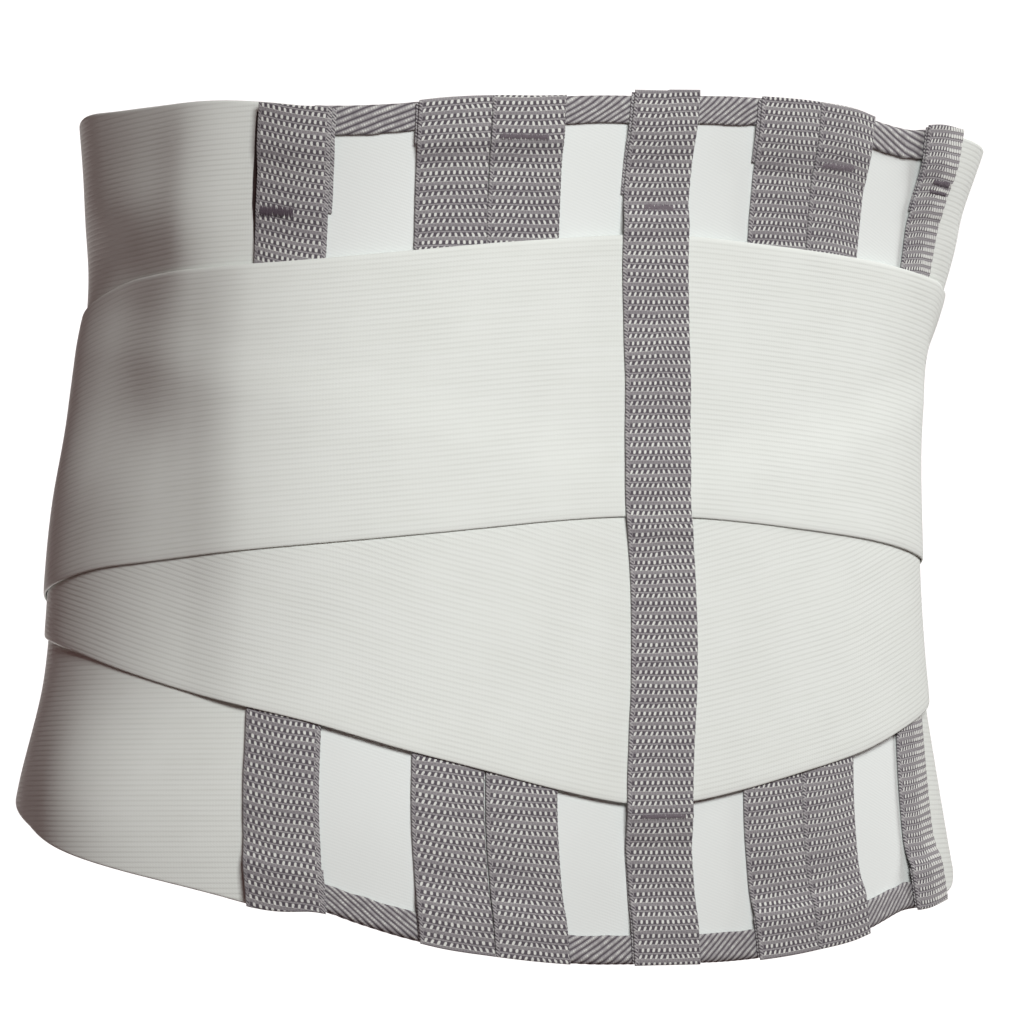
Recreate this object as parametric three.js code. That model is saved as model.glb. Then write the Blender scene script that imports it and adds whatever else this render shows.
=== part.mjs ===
// Sacrolumbar support belt in its worn form, closed round a torso that isn't there.
// Millimetres, +Z up. The spine line faces -Y, the front closure faces +Y, the wearer's left is -X.
// The origin is the middle of the waist hollow, at half of the belt's height.

import * as THREE from "three";

// Driving sizes
const beltHeight = 290;
const waistHalfBreadth = 155;
const waistBackDepth = 126;
const waistFrontDepth = 120;
const halfGirth = 440;
const tapeWidth = 25;
const strapWidth = 95;

// Walls of cloth and the air left between two layers
const panelWall = 1.5;
const strapWall = 1.2;
const tapeWall = 1.4;
const bindingWall = 1.2;
const patchWall = 1.4;
const layerGap = 0.4;
const tapeBulge = 0.25;

// Places along the girth, measured from the spine
const doubleTapesStart = 35.5;
const outerTapeStart = 113.8;
const panelSeam = outerTapeStart + tapeWidth / 2;
const tapedEnd = outerTapeStart + tapeWidth;
const strapLandingEnd = tapedEnd + 26;
const strapEnd = 343;
const tabStart = 322;
const tabEnd = 388;
const closureReach = 36;
const closureRampStart = halfGirth - closureReach - 12;
const evenStations = 240;
const stationStep = 12;

// Binding and folded tape ends
const bindingHeight = 9.5;
const bindingEnd = outerTapeStart + 6;
const tapeOverhang = 1;
const foldWall = 1;
const strapSlack = 0.25;
const buttGap = 0.2;

// The torso's sections. height is a share of beltHeight; centre, right and left are shares of
// waistHalfBreadth; back and front are shares of the waist's two depths.
const torsoSections = [
  { height: 0, centre: -0.005, right: 1.115, left: 1.11, back: 1.055, front: 1.04 },
  { height: 0.17, centre: -0.03, right: 1.075, left: 1.095, back: 1.05, front: 1.04 },
  { height: 0.34, centre: -0.01, right: 1.005, left: 1.04, back: 1.025, front: 1.025 },
  { height: 0.5, centre: 0, right: 0.98, left: 1.01, back: 1, front: 1 },
  { height: 0.67, centre: 0.005, right: 0.99, left: 0.975, back: 0.975, front: 0.955 },
  { height: 0.84, centre: 0.02, right: 1.055, left: 0.965, back: 0.98, front: 0.9 },
  { height: 1, centre: 0.02, right: 1.17, left: 1, back: 1.035, front: 0.86 },
];
const backSquareness = 2.25;
const frontSquareness = 2.1;

// The belt's edges. station is a share of halfGirth, the heights are shares of beltHeight.
const beltEdges = [
  { station: 0, topLeft: 1.002, topRight: 1.003, bottom: 0.003 },
  { station: 0.06, topLeft: 0.999, topRight: 1.007, bottom: 0.004 },
  { station: 0.1, topLeft: 0.995, topRight: 1.008, bottom: 0.009 },
  { station: 0.14, topLeft: 0.994, topRight: 1.007, bottom: 0.017 },
  { station: 0.175, topLeft: 0.991, topRight: 1.003, bottom: 0.026 },
  { station: 0.2, topLeft: 0.987, topRight: 0.996, bottom: 0.036 },
  { station: 0.25, topLeft: 0.985, topRight: 0.99, bottom: 0.058 },
  { station: 0.28, topLeft: 0.987, topRight: 0.991, bottom: 0.065 },
  { station: 0.31, topLeft: 0.993, topRight: 0.99, bottom: 0.073 },
  { station: 0.34, topLeft: 0.998, topRight: 0.992, bottom: 0.085 },
  { station: 0.42, topLeft: 1.004, topRight: 0.995, bottom: 0.114 },
  { station: 0.54, topLeft: 1.006, topRight: 0.998, bottom: 0.161 },
  { station: 0.7, topLeft: 0.993, topRight: 0.99, bottom: 0.228 },
  { station: 0.82, topLeft: 0.962, topRight: 0.959, bottom: 0.276 },
  { station: 1, topLeft: 0.914, topRight: 0.914, bottom: 0.317 },
];

// The straps' edges, in the same shares. The lower strap's hidden edge lies strapWidth above.
const strapEdges = [
  { station: 0, upperTopLeft: 0.844, upperTopRight: 0.844, upperBottom: 0.516, lowerBottom: 0.182 },
  { station: 0.03, upperTopLeft: 0.841, upperTopRight: 0.843, upperBottom: 0.515, lowerBottom: 0.187 },
  { station: 0.085, upperTopLeft: 0.834, upperTopRight: 0.839, upperBottom: 0.51, lowerBottom: 0.203 },
  { station: 0.13, upperTopLeft: 0.828, upperTopRight: 0.836, upperBottom: 0.504, lowerBottom: 0.219 },
  { station: 0.2, upperTopLeft: 0.818, upperTopRight: 0.831, upperBottom: 0.495, lowerBottom: 0.244 },
  { station: 0.27, upperTopLeft: 0.811, upperTopRight: 0.825, upperBottom: 0.486, lowerBottom: 0.276 },
  { station: 0.35, upperTopLeft: 0.804, upperTopRight: 0.819, upperBottom: 0.476, lowerBottom: 0.309 },
  { station: 0.42, upperTopLeft: 0.798, upperTopRight: 0.812, upperBottom: 0.469, lowerBottom: 0.338 },
  { station: 0.485, upperTopLeft: 0.788, upperTopRight: 0.798, upperBottom: 0.464, lowerBottom: 0.361 },
  { station: 0.54, upperTopLeft: 0.777, upperTopRight: 0.784, upperBottom: 0.455, lowerBottom: 0.376 },
  { station: 0.7, upperTopLeft: 0.748, upperTopRight: 0.748, upperBottom: 0.421, lowerBottom: 0.404 },
  { station: 0.8, upperTopLeft: 0.74, upperTopRight: 0.74, upperBottom: 0.412, lowerBottom: 0.412 },
  { station: 1, upperTopLeft: 0.74, upperTopRight: 0.74, upperBottom: 0.412, lowerBottom: 0.412 },
];

// Soft upright dents of the side. station is a share of halfGirth, height and reach are shares
// of beltHeight, width and depth are millimetres.
const dents = [
  { station: -0.47, height: 0.8, width: 11, reach: 0.34, depth: 2.4 },
  { station: -0.37, height: 0.62, width: 12, reach: 0.3, depth: 1.8 },
  { station: -0.44, height: 0.12, width: 16, reach: 0.2, depth: 1.6 },
  { station: 0.4, height: 0.6, width: 14, reach: 0.3, depth: 1.2 },
];

// How long the folded double end of each tape is, as shares of beltHeight
const tapes = [
  { name: "outer_tape_left", start: -tapedEnd, foldTop: 0.12, foldBottom: 0.05 },
  { name: "inner_tape_left_a", start: -(doubleTapesStart + 2 * tapeWidth), foldTop: 0.05, foldBottom: 0.05 },
  { name: "inner_tape_left_b", start: -(doubleTapesStart + tapeWidth), foldTop: 0.05, foldBottom: 0.05 },
  { name: "inner_tape_right_a", start: doubleTapesStart, foldTop: 0.075, foldBottom: 0.05 },
  { name: "inner_tape_right_b", start: doubleTapesStart + tapeWidth, foldTop: 0.075, foldBottom: 0.05 },
  { name: "outer_tape_right", start: outerTapeStart, foldTop: 0.06, foldBottom: 0.05 },
];

const elastic = new THREE.MeshStandardMaterial({ name: "elastic", color: 0xe1dfd8, roughness: 0.85 });
const panelCloth = new THREE.MeshStandardMaterial({ name: "panel_cloth", color: 0xdae0de, roughness: 0.9 });
const webbing = new THREE.MeshStandardMaterial({ name: "webbing", color: 0x746a74, roughness: 0.8 });
const hookTape = new THREE.MeshStandardMaterial({ name: "hook_tape", color: 0xc9c7c1, roughness: 0.95 });
for (const material of [elastic, panelCloth, webbing, hookTape]) {
  material.metalness = 0;
}

// A smooth curve through the rows of a table: value column against place column
function tableCurve(rows, placeColumn, valueColumn) {
  const places = rows.map((row) => row[placeColumn]);
  const values = rows.map((row) => row[valueColumn]);
  const last = rows.length - 1;
  const rise = (k) => (values[k + 1] - values[k]) / (places[k + 1] - places[k]);
  const slopes = rows.map((row, k) => {
    if (k === 0) {
      return rise(0);
    }
    if (k === last) {
      return rise(last - 1);
    }
    const before = places[k] - places[k - 1];
    const after = places[k + 1] - places[k];
    return (rise(k - 1) * after + rise(k) * before) / (before + after);
  });
  return (place) => {
    if (place <= places[0]) {
      return values[0] + slopes[0] * (place - places[0]);
    }
    if (place >= places[last]) {
      return values[last] + slopes[last] * (place - places[last]);
    }
    const k = places.findIndex((next) => next > place) - 1;
    const span = places[k + 1] - places[k];
    const u = (place - places[k]) / span;
    const ease = u * u * (3 - 2 * u);
    const leaving = u * (1 - u) * (1 - u) * span * slopes[k];
    const arriving = u * u * (u - 1) * span * slopes[k + 1];
    return values[k] * (1 - ease) + values[k + 1] * ease + leaving + arriving;
  };
}

function smoothStep(from, to, value) {
  return THREE.MathUtils.smoothstep(value, from, to);
}

// A station past the front closure lies on the other side
function foldedStation(station) {
  const run = Math.abs(station);
  return run > halfGirth ? 2 * halfGirth - run : run;
}

const sectionCurves = {};
for (const column of ["centre", "right", "left", "back", "front"]) {
  sectionCurves[column] = tableCurve(torsoSections, "height", column);
}

const quarterSteps = 40;

// One half of the torso's section at a height, from the spine to the front, with its lengths
function halfSection(side, height) {
  const share = height / beltHeight;
  const centre = sectionCurves.centre(share) * waistHalfBreadth;
  const reach = sectionCurves[side > 0 ? "right" : "left"](share) * waistHalfBreadth;
  const back = sectionCurves.back(share) * waistBackDepth;
  const front = sectionCurves.front(share) * waistFrontDepth;
  const points = [];
  for (let k = 0; k <= 2 * quarterSteps; k += 1) {
    const angle = (k / quarterSteps) * (Math.PI / 2);
    const behind = k <= quarterSteps;
    const power = 2 / (behind ? backSquareness : frontSquareness);
    const out = Math.abs(Math.sin(angle)) ** power;
    const along = Math.abs(Math.cos(angle)) ** power;
    points.push(new THREE.Vector2(centre + side * reach * out, behind ? -back * along : front * along));
  }
  const lengths = [0];
  for (let k = 1; k < points.length; k += 1) {
    lengths.push(lengths[k - 1] + points[k].distanceTo(points[k - 1]));
  }
  return { points, lengths };
}

// The plan place of a station at a height. Stations are true lengths up to evenStations, and past
// it they are spread evenly, so that every height meets the front at halfGirth.
function planPoint(station, height) {
  const crossed = Math.abs(station) > halfGirth;
  const side = (station < 0 ? -1 : 1) * (crossed ? -1 : 1);
  const run = foldedStation(station);
  const { points, lengths } = halfSection(side, height);
  const whole = lengths[lengths.length - 1];
  const spread = (whole - evenStations) / (halfGirth - evenStations);
  const arc = run <= evenStations ? run : evenStations + (run - evenStations) * spread;
  const found = lengths.findIndex((length) => length >= arc);
  const next = found < 0 ? lengths.length - 1 : Math.max(found, 1);
  const share = (arc - lengths[next - 1]) / (lengths[next] - lengths[next - 1]);
  return points[next - 1].clone().lerp(points[next], share);
}

function dentDepth(station, height) {
  let depth = 0;
  for (const dent of dents) {
    const across = (station - dent.station * halfGirth) / dent.width;
    const along = (height / beltHeight - dent.height) / dent.reach;
    depth += dent.depth * Math.exp(-(across ** 2)) * Math.exp(-(along ** 4));
  }
  return depth;
}

const tangentReach = 2;

// A place on the belt: lift is the distance out from the panels' outer face
function bodyPoint(station, height, lift) {
  const here = planPoint(station, height);
  const before = planPoint(station - tangentReach, height);
  const after = planPoint(station + tangentReach, height);
  const tangent = after.sub(before).normalize();
  const out = lift - dentDepth(station, height);
  return new THREE.Vector3(here.x + out * tangent.y, here.y - out * tangent.x, height - beltHeight / 2);
}

// All pieces share these stations, so that their facets lie parallel
function makeStations() {
  const insideDoubles = [0.5, 1, 1.5, 2].map((share) => doubleTapesStart + share * tapeWidth);
  const taped = [
    tapeWidth / 2,
    (tapeWidth / 2 + doubleTapesStart) / 2,
    doubleTapesStart,
    ...insideDoubles,
    (insideDoubles[3] + outerTapeStart) / 2,
    outerTapeStart,
    panelSeam,
    tapedEnd,
  ];
  const right = [...taped];
  const steps = Math.round((halfGirth - tapedEnd) / stationStep);
  const overlapSteps = Math.round(closureReach / stationStep);
  for (let k = 1; k <= steps + overlapSteps; k += 1) {
    right.push(tapedEnd + (k * (halfGirth - tapedEnd)) / steps);
  }
  return [...right.map((station) => -station).reverse(), 0, ...right];
}
const sharedStations = makeStations();
const leastStationStep = 2;

function stationsBetween(from, to) {
  const inside = sharedStations.filter((s) => s > from + leastStationStep && s < to - leastStationStep);
  return [from, ...inside, to];
}

// A closed wall through the section profiles at the given stations. A profile is a row of pairs,
// an outer and an inner point as height and lift, that climbs on the outer face.
function loftedMesh(name, material, stations, profileAt) {
  const positions = [];
  const triangles = [];
  const pairs = profileAt(stations[0]).length;
  const count = 2 * pairs;
  for (const station of stations) {
    const profile = profileAt(station);
    const loop = [...profile.map((pair) => pair.outer), ...profile.map((pair) => pair.inner).reverse()];
    for (const [height, lift] of loop) {
      positions.push(...bodyPoint(station, height, lift).toArray());
    }
  }
  for (let column = 0; column < stations.length - 1; column += 1) {
    for (let row = 0; row < count; row += 1) {
      const a = column * count + row;
      const d = column * count + ((row + 1) % count);
      triangles.push(a, a + count, d + count, a, d + count, d);
    }
  }
  const lastColumn = (stations.length - 1) * count;
  for (let pair = 0; pair < pairs - 1; pair += 1) {
    const inner = count - 1 - pair;
    triangles.push(pair, pair + 1, inner - 1, pair, inner - 1, inner);
    const far = [pair, inner - 1, pair + 1, pair, inner, inner - 1];
    triangles.push(...far.map((corner) => corner + lastColumn));
  }
  const geometry = new THREE.BufferGeometry();
  geometry.setAttribute("position", new THREE.Float32BufferAttribute(positions, 3));
  geometry.setIndex(triangles);
  geometry.computeVertexNormals();
  const mesh = new THREE.Mesh(geometry, material);
  mesh.name = name;
  return mesh;
}

// One pair of a plain wall's profile
function layer(height, innerLift, outerLift) {
  return { outer: [height, outerLift], inner: [height, innerLift] };
}

function evenHeights(low, high, steps) {
  return Array.from({ length: steps + 1 }, (unused, k) => low + ((high - low) * k) / steps);
}

// Edge heights at a station
const edgeCurves = {
  topLeft: tableCurve(beltEdges, "station", "topLeft"),
  topRight: tableCurve(beltEdges, "station", "topRight"),
  bottom: tableCurve(beltEdges, "station", "bottom"),
  upperTopLeft: tableCurve(strapEdges, "station", "upperTopLeft"),
  upperTopRight: tableCurve(strapEdges, "station", "upperTopRight"),
  upperBottom: tableCurve(strapEdges, "station", "upperBottom"),
  lowerBottom: tableCurve(strapEdges, "station", "lowerBottom"),
};

function edgeHeight(column, station) {
  return edgeCurves[column](foldedStation(station) / halfGirth) * beltHeight;
}

function topEdge(station) {
  return edgeHeight(station < 0 ? "topLeft" : "topRight", station);
}

function bottomEdge(station) {
  return edgeHeight("bottom", station);
}

function upperStrapTop(station) {
  return edgeHeight(station < 0 ? "upperTopLeft" : "upperTopRight", station);
}

function upperStrapBottom(station) {
  return edgeHeight("upperBottom", station);
}

function lowerStrapBottom(station) {
  return edgeHeight("lowerBottom", station);
}

function lowerStrapTop(station) {
  const run = Math.abs(station);
  const slope = lowerStrapBottom(run + 1) - lowerStrapBottom(run);
  return lowerStrapBottom(station) + strapWidth * Math.hypot(1, slope);
}

// Lifts of the layers above the panels' outer face
const tapeInner = layerGap;
const tapeOuter = tapeInner + tapeWall;
const overBinding = 2 * layerGap + bindingWall;
const strapOverTapes = tapeOuter + tapeBulge + layerGap;
const strapOverPanel = layerGap + strapSlack;

function lowerStrapInner(station) {
  const onPanel = smoothStep(tapedEnd, strapLandingEnd, Math.abs(station));
  return THREE.MathUtils.lerp(strapOverTapes, strapOverPanel, onPanel);
}

const strapDrapeStart = 5;
const strapDrapeEnd = 26;

function upperStrapInner(station, height) {
  const lowest = lowerStrapInner(station);
  const past = height - lowerStrapTop(station);
  const draped = smoothStep(strapDrapeStart, strapDrapeEnd, past);
  return THREE.MathUtils.lerp(lowest + strapWall + layerGap, lowest, draped);
}

// The right panel climbs over the left one at the front closure
function panelLift(station) {
  const over = layerGap + patchWall + layerGap + panelWall;
  return smoothStep(closureRampStart, halfGirth - closureReach, station) * over;
}

const edgeInset = bindingWall + layerGap;
const panelSteps = 12;

// The rows of the panel between its bindings, which the tapes share
function openHeights(station) {
  return evenHeights(bottomEdge(station) + bindingHeight, topEdge(station) - bindingHeight, panelSteps);
}

function backPanel() {
  const end = panelSeam - buttGap;
  return loftedMesh("back_panel", panelCloth, stationsBetween(-end, end), (station) => {
    const low = bottomEdge(station) + edgeInset;
    const high = topEdge(station) - edgeInset;
    return [low, ...openHeights(station), high].map((height) => layer(height, -panelWall, 0));
  });
}

function sidePanel(name, side) {
  const seam = side * (panelSeam + buttGap);
  const end = side * (halfGirth + closureReach);
  const stations = stationsBetween(Math.min(seam, end), Math.max(seam, end));
  return loftedMesh(name, elastic, stations, (station) => {
    const lift = panelLift(station);
    const heights = [bottomEdge(station), ...openHeights(station), topEdge(station)];
    return heights.map((height) => layer(height, lift - panelWall, lift));
  });
}

// A strip of tape folded round the edge of the back panel, as a U on its side
function binding(name, edge, direction) {
  const near = layerGap;
  const far = -panelWall - layerGap;
  const corner = bindingWall / 2;
  const bevel = bindingWall / 4;
  const hem = (station) => edge(station) - direction * bindingHeight;
  return loftedMesh(name, webbing, stationsBetween(-bindingEnd, bindingEnd), (station) => {
    const crest = (depth) => edge(station) - direction * depth;
    const path = [
      layer(hem(station), near, near + bindingWall),
      { outer: [crest(corner), near + bindingWall], inner: [crest(bindingWall + bevel), near] },
      { outer: [crest(0), near + corner], inner: [crest(bindingWall), near - bevel] },
      { outer: [crest(0), far - corner], inner: [crest(bindingWall), far + bevel] },
      { outer: [crest(corner), far - bindingWall], inner: [crest(bindingWall + bevel), far] },
      layer(hem(station), far, far - bindingWall),
    ];
    return direction > 0 ? path : path.reverse();
  });
}

const foldRounding = 0.8;
const foldStep = 2.5;
const bindingClearance = 2;

// Rows of a tape's end, from the end inward: over the binding, the folded double part, one layer
function tapeEndRows(end, direction, foldLength) {
  const at = (run) => end + direction * run;
  const ledge = bindingHeight + tapeOverhang + bindingClearance;
  const doubled = tapeWall + foldWall;
  const foldEnd = Math.max(foldLength, ledge + 2 * foldStep);
  return [
    layer(at(0), overBinding, overBinding + doubled - foldRounding),
    layer(at(foldRounding), overBinding, overBinding + doubled),
    layer(at(ledge), overBinding, overBinding + doubled),
    layer(at(ledge + foldStep), tapeInner, tapeInner + doubled),
    layer(at(foldEnd), tapeInner, tapeInner + doubled),
    layer(at(foldEnd + foldStep), tapeInner, tapeOuter),
  ];
}

function lowTapeEnd(station, foldLength) {
  return tapeEndRows(bottomEdge(station) - tapeOverhang, 1, foldLength);
}

function highTapeEnd(station, foldLength) {
  return tapeEndRows(topEdge(station) + tapeOverhang, -1, foldLength).reverse();
}

const leastRowStep = 4;

function tape({ name, start, foldTop, foldBottom }) {
  const from = start + buttGap;
  const to = start + tapeWidth - buttGap;
  const middle = start + tapeWidth / 2;
  const lowEnd = (station) => lowTapeEnd(station, foldBottom * beltHeight);
  const highEnd = (station) => highTapeEnd(station, foldTop * beltHeight);
  const [lowest] = lowEnd(middle)[lowEnd(middle).length - 1].outer;
  const [highest] = highEnd(middle)[0].outer;
  const isOpen = openHeights(middle).map((h) => h > lowest + leastRowStep && h < highest - leastRowStep);
  return loftedMesh(name, webbing, [from, middle, to], (station) => {
    const bulge = station === middle ? tapeBulge : 0;
    const open = openHeights(station).filter((height, row) => isOpen[row]);
    const plain = open.map((height) => layer(height, tapeInner, tapeOuter));
    return bulged([...lowEnd(station), ...plain, ...highEnd(station)], bulge);
  });
}

// The same profile with its outer face a little fuller
function bulged(profile, bulge) {
  return profile.map(({ outer: [height, lift], inner }) => ({ outer: [height, lift + bulge], inner }));
}

// The spine tape climbs over the straps' ends
const tapeClimb = 6;
const strapEdgeMargin = 1.5;

function spineTape() {
  const half = tapeWidth / 2;
  const overLower = strapOverTapes + strapWall + layerGap;
  const overUpper = overLower + strapWall + layerGap;
  const foldTop = beltHeight - upperStrapTop(0) - tapeClimb - strapEdgeMargin - foldStep;
  const foldBottom = lowerStrapBottom(0) - tapeClimb - strapEdgeMargin - foldStep;
  const single = (height, inner) => layer(height, inner, inner + tapeWall);
  const alongStraps = (low, high, steps) => evenHeights(low, high, steps).map((h) => single(h, overLower));
  const meeting = upperStrapBottom(half);
  const drapeEnd = lowerStrapTop(half) + strapDrapeEnd + tapeClimb;
  const topOfStraps = upperStrapTop(0) + strapEdgeMargin;
  const overStraps = [
    single(lowerStrapBottom(0) - strapEdgeMargin, overLower),
    ...alongStraps(lowerStrapBottom(0) + tapeClimb, meeting - 2 * tapeClimb, 4),
    single(meeting - tapeClimb / 2, overUpper),
    single(meeting + tapeClimb, overUpper),
    single(lowerStrapTop(half) + strapDrapeStart + tapeClimb, overUpper),
    single(drapeEnd, overLower),
    ...alongStraps(drapeEnd + 2 * tapeClimb, topOfStraps - 2 * tapeClimb, 2),
    single(topOfStraps, overLower),
  ];
  return loftedMesh("spine_tape", webbing, [-half, 0, half], (station) => {
    const bulge = station === 0 ? tapeBulge : 0;
    const ends = [lowTapeEnd(station, foldBottom), highTapeEnd(station, foldTop)];
    return bulged([...ends[0], ...overStraps, ...ends[1]], bulge);
  });
}

const strapSteps = 6;

function strap(name, side, bottom, top, innerLift) {
  const root = side * buttGap;
  const end = side * strapEnd;
  const stations = stationsBetween(Math.min(root, end), Math.max(root, end));
  return loftedMesh(name, elastic, stations, (station) => {
    const heights = evenHeights(bottom(station), top(station), strapSteps);
    return heights.map((height) => {
      const inner = innerLift(station, height);
      return layer(height, inner, inner + strapWall);
    });
  });
}

// The plain tab that closes the ends of a side's two straps and lies on the panel past them
const tabInset = 6;
const tabSteps = 4;

function strapTab(name, side) {
  const overStraps = lowerStrapInner(strapEnd) + 2 * (strapWall + layerGap);
  const ends = [side * tabStart, side * tabEnd].sort((a, b) => a - b);
  return loftedMesh(name, hookTape, stationsBetween(...ends), (station) => {
    const landed = smoothStep(strapEnd + layerGap, strapEnd + stationStep, Math.abs(station));
    const inner = THREE.MathUtils.lerp(overStraps, layerGap, landed);
    const low = upperStrapBottom(station) + tabInset;
    const high = upperStrapTop(station) - tabInset;
    const heights = evenHeights(low, high, tabSteps);
    return heights.map((height) => layer(height, inner, inner + strapWall));
  });
}

// The hook-and-loop patch between the panels' overlapping ends
const patchReach = 30;
const patchInset = 12;

function closurePatch() {
  const stations = stationsBetween(halfGirth - patchReach, halfGirth + patchReach);
  return loftedMesh("closure_patch", hookTape, stations, (station) => {
    const heights = evenHeights(bottomEdge(station) + patchInset, topEdge(station) - patchInset, tabSteps);
    return heights.map((height) => layer(height, layerGap, layerGap + patchWall));
  });
}

function makeBelt() {
  const belt = new THREE.Group();
  belt.name = "sacrolumbar_support_belt";
  belt.add(backPanel());
  belt.add(sidePanel("side_panel_left", -1));
  belt.add(sidePanel("side_panel_right", 1));
  belt.add(binding("top_binding", topEdge, 1));
  belt.add(binding("bottom_binding", bottomEdge, -1));
  for (const row of tapes) {
    belt.add(tape(row));
  }
  belt.add(spineTape());
  for (const [label, side] of [["left", -1], ["right", 1]]) {
    belt.add(strap(`lower_strap_${label}`, side, lowerStrapBottom, lowerStrapTop, lowerStrapInner));
    belt.add(strap(`upper_strap_${label}`, side, upperStrapBottom, upperStrapTop, upperStrapInner));
    belt.add(strapTab(`strap_tab_${label}`, side));
  }
  belt.add(closurePatch());
  return belt;
}

export default makeBelt();
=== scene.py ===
import math

import bpy
import numpy as np
from mathutils import Matrix, Vector


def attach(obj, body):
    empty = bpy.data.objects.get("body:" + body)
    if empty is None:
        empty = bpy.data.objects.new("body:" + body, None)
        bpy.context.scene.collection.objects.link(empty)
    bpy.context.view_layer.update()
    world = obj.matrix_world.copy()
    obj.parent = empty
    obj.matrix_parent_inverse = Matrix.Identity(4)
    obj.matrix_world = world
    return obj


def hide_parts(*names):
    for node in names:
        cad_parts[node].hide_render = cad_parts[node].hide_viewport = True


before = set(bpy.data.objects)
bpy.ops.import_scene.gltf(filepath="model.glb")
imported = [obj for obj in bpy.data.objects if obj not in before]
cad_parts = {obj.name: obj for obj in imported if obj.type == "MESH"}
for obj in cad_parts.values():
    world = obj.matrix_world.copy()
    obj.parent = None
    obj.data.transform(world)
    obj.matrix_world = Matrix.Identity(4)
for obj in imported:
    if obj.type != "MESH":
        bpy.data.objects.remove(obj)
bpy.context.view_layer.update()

# Sizes in millimetres, as in the part's source. The mesh builder turns them into metres.
MM = 0.001
BELT_HEIGHT = 290
WAIST_HALF_BREADTH = 155
WAIST_BACK_DEPTH = 126
WAIST_FRONT_DEPTH = 120
HALF_GIRTH = 440
TAPE_WIDTH = 25
STRAP_WIDTH = 95

PANEL_WALL = 1.5
STRAP_WALL = 0.85
TAPE_WALL = 1.1
BINDING_WALL = 1.2
PATCH_WALL = 1.4
LAYER_GAP = 0.4
TAPE_BULGE = 0.25

DOUBLE_TAPES_START = 35.5
OUTER_TAPE_START = 113.8
PANEL_SEAM = OUTER_TAPE_START + TAPE_WIDTH / 2
TAPED_END = OUTER_TAPE_START + TAPE_WIDTH
STRAP_LANDING_END = TAPED_END + 26
STRAP_END = 343
TAB_START = 322
TAB_END = 388
CLOSURE_REACH = 36
CLOSURE_RAMP_START = HALF_GIRTH - CLOSURE_REACH - 12
EVEN_STATIONS = 240

BINDING_HEIGHT = 9.5
BINDING_END = OUTER_TAPE_START + 6
TAPE_OVERHANG = 1
FOLD_WALL = 0.6
STRAP_SLACK = 0.1
BUTT_GAP = 0.2
BINDING_CLEARANCE = 2
FOLD_STEP = 2.5

# The torso's sections, as shares of the belt's height and of the waist's sizes
TORSO_SECTIONS = [
    dict(height=0, centre=-0.005, right=1.115, left=1.11, back=1.055, front=1.04),
    dict(height=0.17, centre=-0.03, right=1.075, left=1.095, back=1.05, front=1.04),
    dict(height=0.34, centre=-0.01, right=1.005, left=1.04, back=1.025, front=1.025),
    dict(height=0.5, centre=0, right=0.98, left=1.01, back=1, front=1),
    dict(height=0.67, centre=0.005, right=0.99, left=0.975, back=0.975, front=0.955),
    dict(height=0.84, centre=0.02, right=1.055, left=0.965, back=0.98, front=0.9),
    dict(height=1, centre=0.02, right=1.17, left=1, back=1.035, front=0.86),
]
BACK_SQUARENESS = 2.25
FRONT_SQUARENESS = 2.1

# The belt's edges, as shares of the half girth and of the belt's height
BELT_EDGES = [
    dict(station=0, top_left=1.002, top_right=1.003, bottom=0.003),
    dict(station=0.06, top_left=0.999, top_right=1.007, bottom=0.004),
    dict(station=0.1, top_left=0.995, top_right=1.008, bottom=0.009),
    dict(station=0.14, top_left=0.994, top_right=1.007, bottom=0.017),
    dict(station=0.175, top_left=0.991, top_right=1.003, bottom=0.026),
    dict(station=0.2, top_left=0.987, top_right=0.996, bottom=0.036),
    dict(station=0.25, top_left=0.985, top_right=0.99, bottom=0.058),
    dict(station=0.28, top_left=0.987, top_right=0.995, bottom=0.065),
    dict(station=0.31, top_left=0.993, top_right=0.995, bottom=0.073),
    dict(station=0.34, top_left=0.998, top_right=0.995, bottom=0.085),
    dict(station=0.42, top_left=1.004, top_right=0.995, bottom=0.114),
    dict(station=0.54, top_left=1.009, top_right=0.998, bottom=0.161),
    dict(station=0.7, top_left=0.998, top_right=0.99, bottom=0.228),
    dict(station=0.82, top_left=0.962, top_right=0.959, bottom=0.276),
    dict(station=1, top_left=0.914, top_right=0.914, bottom=0.317),
]

STRAP_EDGES = [
    dict(station=0, upper_top_left=0.844, upper_top_right=0.844, upper_bottom=0.516, lower_bottom=0.182),
    dict(station=0.03, upper_top_left=0.841, upper_top_right=0.843, upper_bottom=0.515, lower_bottom=0.187),
    dict(station=0.085, upper_top_left=0.834, upper_top_right=0.839, upper_bottom=0.51, lower_bottom=0.203),
    dict(station=0.13, upper_top_left=0.828, upper_top_right=0.836, upper_bottom=0.504, lower_bottom=0.219),
    dict(station=0.2, upper_top_left=0.818, upper_top_right=0.831, upper_bottom=0.495, lower_bottom=0.244),
    dict(station=0.27, upper_top_left=0.811, upper_top_right=0.825, upper_bottom=0.486, lower_bottom=0.276),
    dict(station=0.35, upper_top_left=0.809, upper_top_right=0.819, upper_bottom=0.476, lower_bottom=0.309),
    dict(station=0.42, upper_top_left=0.81, upper_top_right=0.812, upper_bottom=0.469, lower_bottom=0.338),
    dict(station=0.485, upper_top_left=0.809, upper_top_right=0.798, upper_bottom=0.464, lower_bottom=0.361),
    dict(station=0.54, upper_top_left=0.799, upper_top_right=0.784, upper_bottom=0.455, lower_bottom=0.376),
    dict(station=0.7, upper_top_left=0.758, upper_top_right=0.748, upper_bottom=0.421, lower_bottom=0.404),
    dict(station=0.8, upper_top_left=0.74, upper_top_right=0.74, upper_bottom=0.412, lower_bottom=0.412),
    dict(station=1, upper_top_left=0.74, upper_top_right=0.74, upper_bottom=0.412, lower_bottom=0.412),
]

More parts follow.
